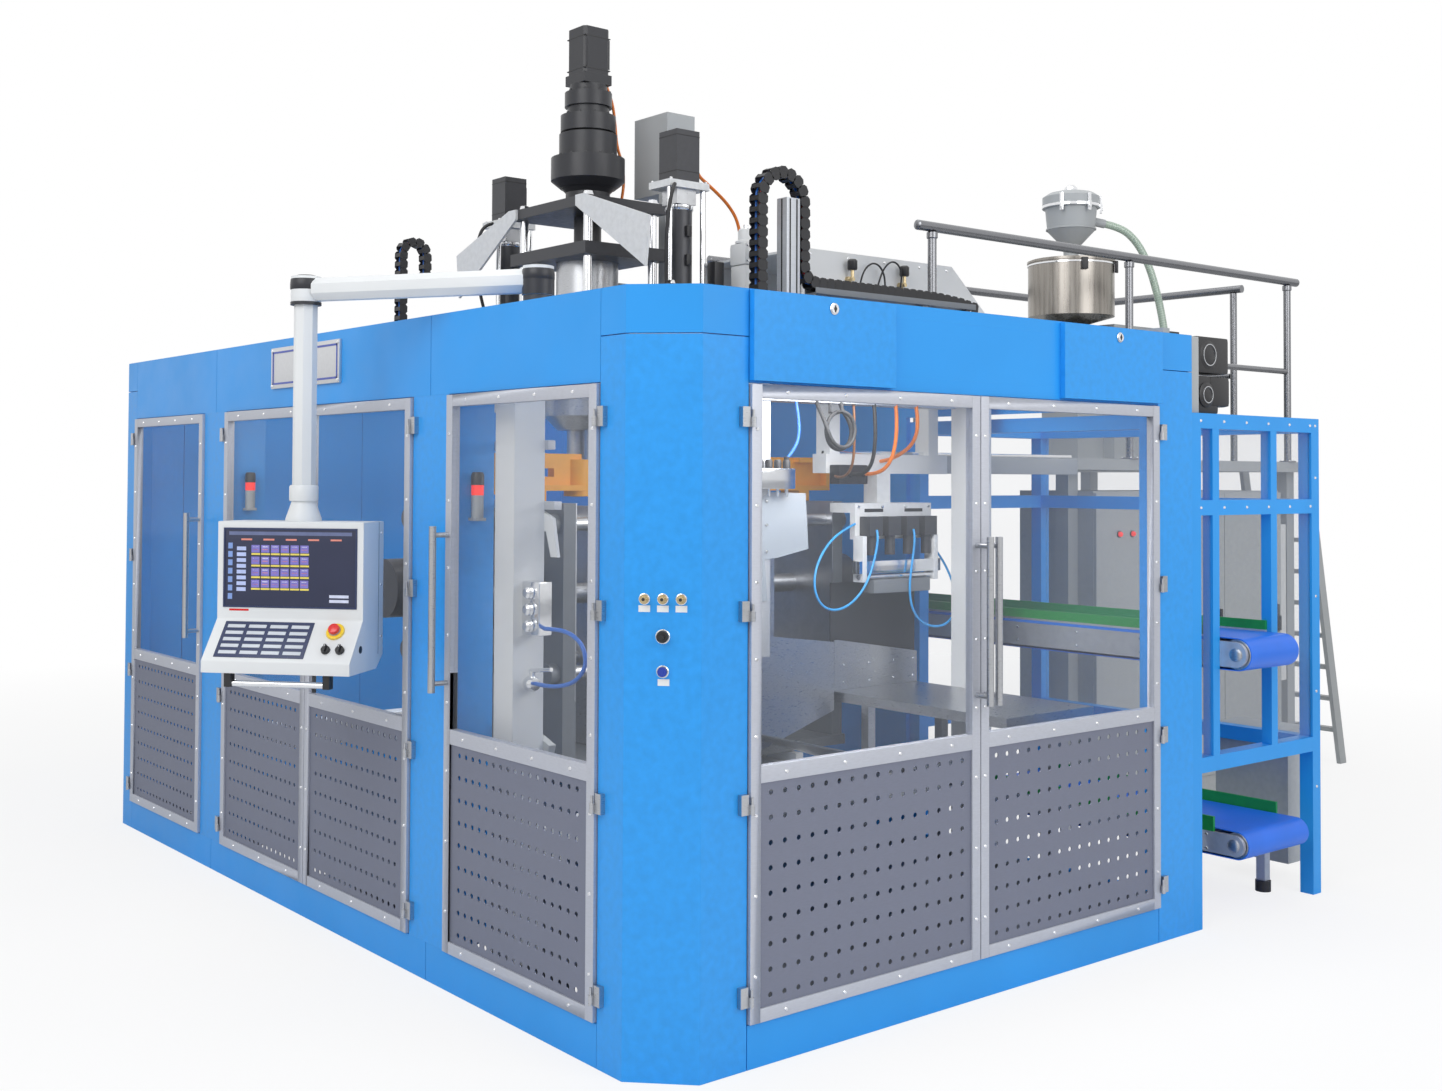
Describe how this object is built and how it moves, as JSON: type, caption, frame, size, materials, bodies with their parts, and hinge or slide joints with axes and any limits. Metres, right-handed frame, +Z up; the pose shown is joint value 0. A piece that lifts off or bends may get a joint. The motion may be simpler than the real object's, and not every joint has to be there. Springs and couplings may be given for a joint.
{
  "type": "blow moulding machine",
  "caption": "Two-station extrusion blow moulding machine in a guarded cabinet, with glazed doors, swing-arm panel, parison head drive, raised extruder, platform and take-off conveyors.",
  "frame": {"origin": "on the floor at the middle of the cabinet's footprint, on the underside of the base frame's middle beam", "axes": "+X from the operator side to the extruder side, +Y from the front doors to the back, +Z up"},
  "size_m": [7.1622, 4.6898, 3.764],
  "materials": {
    "belt_blue": "smooth belt",
    "black_plastic": "matte",
    "black_steel": "satin black",
    "blue_plastic": "gloss",
    "brass": "turned",
    "clear_pane": "clear polycarbonate",
    "door_aluminium": "satin anodised",
    "light_grey_paint": "satin",
    "machine_steel": "satin grey paint",
    "machined_steel": "turned and ground",
    "red_plastic": "gloss",
    "roller_steel": "turned",
    "screen_glass": "dark screen",
    "sky_blue_paint": "smooth satin powder coat",
    "stainless": "brushed",
    "translucent_hose": "translucent green",
    "white_paint": "satin white"
  },
  "bodies": {
    "machine": {"base_frame": "machine_steel", "guard_frame": "sky_blue_paint", "fascia_panels": "sky_blue_paint", "skirt_panels": "sky_blue_paint", "hinge_leaves": "stainless", "press_frame": "light_grey_paint", "column_stand": "black_steel", "parison_drive": "black_steel", "extrusion_head": "machined_steel", "blow_units": "machined_steel", "extruder": "machine_steel", "extruder_cover": "white_paint", "hopper": "stainless", "vacuum_loader": "light_grey_paint", "loader_hose": "translucent_hose", "junction_box": "light_grey_paint", "energy_chains": "black_plastic", "service_platform": "machine_steel", "railing": "stainless", "control_cabinet": "light_grey_paint", "annex_frame": "sky_blue_paint", "annex_windows": "clear_pane", "conveyor_frames": "light_grey_paint", "conveyor_belts": "belt_blue", "chutes": "stainless", "blower": "black_plastic", "panel_couplings": "brass"},
    "door_a": {"door_a": "door_aluminium", "window_a": "clear_pane"},
    "door_b": {"door_b": "door_aluminium", "window_b": "clear_pane"},
    "door_c": {"door_c": "door_aluminium", "window_c": "clear_pane"},
    "door_d": {"door_d": "door_aluminium", "window_d": "clear_pane"},
    "door_e": {"door_e": "door_aluminium", "window_e": "clear_pane"},
    "door_f": {"door_f": "door_aluminium", "window_f": "clear_pane"},
    "hmi_arm": {"hmi_arm": "white_paint"},
    "hmi_panel": {"hmi_housing": "white_paint", "hmi_screen": "screen_glass"},
    "estop": {"estop_button": "red_plastic"},
    "selector_left": {"selector_left": "black_plastic"},
    "selector_right": {"selector_right": "black_plastic"},
    "key_switch": {"key_switch": "black_plastic"},
    "blue_button": {"blue_button": "blue_plastic"},
    "hatch_left": {"hatch_left": "sky_blue_paint"},
    "hatch_right": {"hatch_right": "sky_blue_paint"},
    "takeoff_roller": {"takeoff_roller": "roller_steel"},
    "scrap_roller": {"scrap_roller": "roller_steel"},
    "carriage_front": {"carriage_front": "machine_steel"},
    "carriage_rear": {"carriage_rear": "machine_steel"},
    "platen_front_left": {"platen_front_left": "machined_steel"},
    "platen_front_right": {"platen_front_right": "machined_steel"},
    "platen_rear_left": {"platen_rear_left": "machined_steel"},
    "platen_rear_right": {"platen_rear_right": "machined_steel"},
    "blow_pin_front": {"blow_pin_front": "machined_steel"},
    "blow_pin_rear": {"blow_pin_rear": "machined_steel"},
    "takeout_gripper": {"takeout_gripper": "machined_steel"}
  },
  "joints": [
    {"name": "door_a_hinge", "type": "hinge", "parent": "machine", "child": "door_a", "pos_m": [-1.321, 1.993, 1], "axis": [0, 0, -1], "range_deg": [0, 110]},
    {"name": "door_b_hinge", "type": "hinge", "parent": "machine", "child": "door_b", "pos_m": [-1.321, 0.848, 1], "axis": [0, 0, -1], "range_deg": [0, 110]},
    {"name": "door_c_hinge", "type": "hinge", "parent": "machine", "child": "door_c", "pos_m": [-1.321, -0.848, 1], "axis": [0, 0, 1], "range_deg": [0, 40]},
    {"name": "door_d_hinge", "type": "hinge", "parent": "machine", "child": "door_d", "pos_m": [-1.321, -1.993, 1], "axis": [0, 0, 1], "range_deg": [0, 110]},
    {"name": "door_e_hinge", "type": "hinge", "parent": "machine", "child": "door_e", "pos_m": [-0.963, -2.301, 1], "axis": [0, 0, -1], "range_deg": [0, 110]},
    {"name": "door_f_hinge", "type": "hinge", "parent": "machine", "child": "door_f", "pos_m": [1.074, -2.301, 1], "axis": [0, 0, 1], "range_deg": [0, 110]},
    {"name": "hmi_arm_swing", "type": "hinge", "parent": "machine", "child": "hmi_arm", "pos_m": [-1.15, -1.42, 2.39], "axis": [0, 0, 1], "range_deg": [0, 75]},
    {"name": "hmi_panel_turn", "type": "hinge", "parent": "hmi_arm", "child": "hmi_panel", "pos_m": [-1.62481, -0.66015, 1.62], "axis": [0, 0, 1], "range_deg": [-40, 40]},
    {"name": "estop_push", "type": "slide", "parent": "hmi_panel", "child": "estop", "axis": [0.5842, 0.5025, -0.6373], "range_m": [0, 0.006], "stiffness_N_per_m": 300},
    {"name": "selector_left_turn", "type": "hinge", "parent": "hmi_panel", "child": "selector_left", "pos_m": [-1.65315, -0.90745, 1.15099], "axis": [-0.5842, -0.5025, 0.6373], "range_deg": [-45, 45]},
    {"name": "selector_right_turn", "type": "hinge", "parent": "hmi_panel", "child": "selector_right", "pos_m": [-1.6199, -0.94611, 1.15099], "axis": [-0.5842, -0.5025, 0.6373], "range_deg": [-45, 45]},
    {"name": "key_switch_turn", "type": "hinge", "parent": "machine", "child": "key_switch", "pos_m": [-1.22, -2.2, 1.278], "axis": [-0.7071, -0.7071, 0], "range_deg": [-45, 45]},
    {"name": "blue_button_push", "type": "slide", "parent": "machine", "child": "blue_button", "axis": [0.7071, 0.7071, 0], "range_m": [0, 0.004], "stiffness_N_per_m": 200},
    {"name": "hatch_left_hinge", "type": "hinge", "parent": "machine", "child": "hatch_left", "pos_m": [-0.663, -2.302, 2.026], "axis": [1, 0, 0], "range_deg": [0, 90]},
    {"name": "hatch_right_hinge", "type": "hinge", "parent": "machine", "child": "hatch_right", "pos_m": [0.786, -2.302, 2.026], "axis": [1, 0, 0], "range_deg": [0, 90]},
    {"name": "takeoff_roller_spin", "type": "hinge", "parent": "machine", "child": "takeoff_roller", "pos_m": [1.67, -2.3457, 1.0557], "axis": [1, 0, 0], "continuous": true},
    {"name": "scrap_roller_spin", "type": "hinge", "parent": "machine", "child": "scrap_roller", "pos_m": [1.81, -2.2837, 0.2887], "axis": [1, 0, 0], "continuous": true},
    {"name": "carriage_front_shift", "type": "slide", "parent": "machine", "child": "carriage_front", "axis": [0, 1, 0], "range_m": [0, 0.67]},
    {"name": "carriage_rear_shift", "type": "slide", "parent": "machine", "child": "carriage_rear", "axis": [0, 1, 0], "range_m": [0, 0.67]},
    {"name": "platen_front_left_close", "type": "slide", "parent": "carriage_front", "child": "platen_front_left", "axis": [1, 0, 0], "range_m": [0, 0.1495]},
    {"name": "platen_front_right_close", "type": "slide", "parent": "carriage_front", "child": "platen_front_right", "axis": [-1, 0, 0], "range_m": [0, 0.1495]},
    {"name": "platen_rear_left_close", "type": "slide", "parent": "carriage_rear", "child": "platen_rear_left", "axis": [1, 0, 0], "range_m": [0, 0.1495]},
    {"name": "platen_rear_right_close", "type": "slide", "parent": "carriage_rear", "child": "platen_rear_right", "axis": [-1, 0, 0], "range_m": [0, 0.1495]},
    {"name": "blow_pin_front_stroke", "type": "slide", "parent": "machine", "child": "blow_pin_front", "axis": [0, 0, 1], "range_m": [-0.16, 0]},
    {"name": "blow_pin_rear_stroke", "type": "slide", "parent": "machine", "child": "blow_pin_rear", "axis": [0, 0, 1], "range_m": [-0.16, 0]},
    {"name": "takeout_stroke", "type": "slide", "parent": "machine", "child": "takeout_gripper", "axis": [1, 0, 0], "range_m": [0, 0.3]}
  ],
  "couplings": [
    {"joint": "carriage_rear_shift", "follows": "carriage_front_shift", "ratio": 1},
    {"joint": "platen_front_right_close", "follows": "platen_front_left_close", "ratio": 1},
    {"joint": "platen_rear_right_close", "follows": "platen_rear_left_close", "ratio": 1}
  ]
}
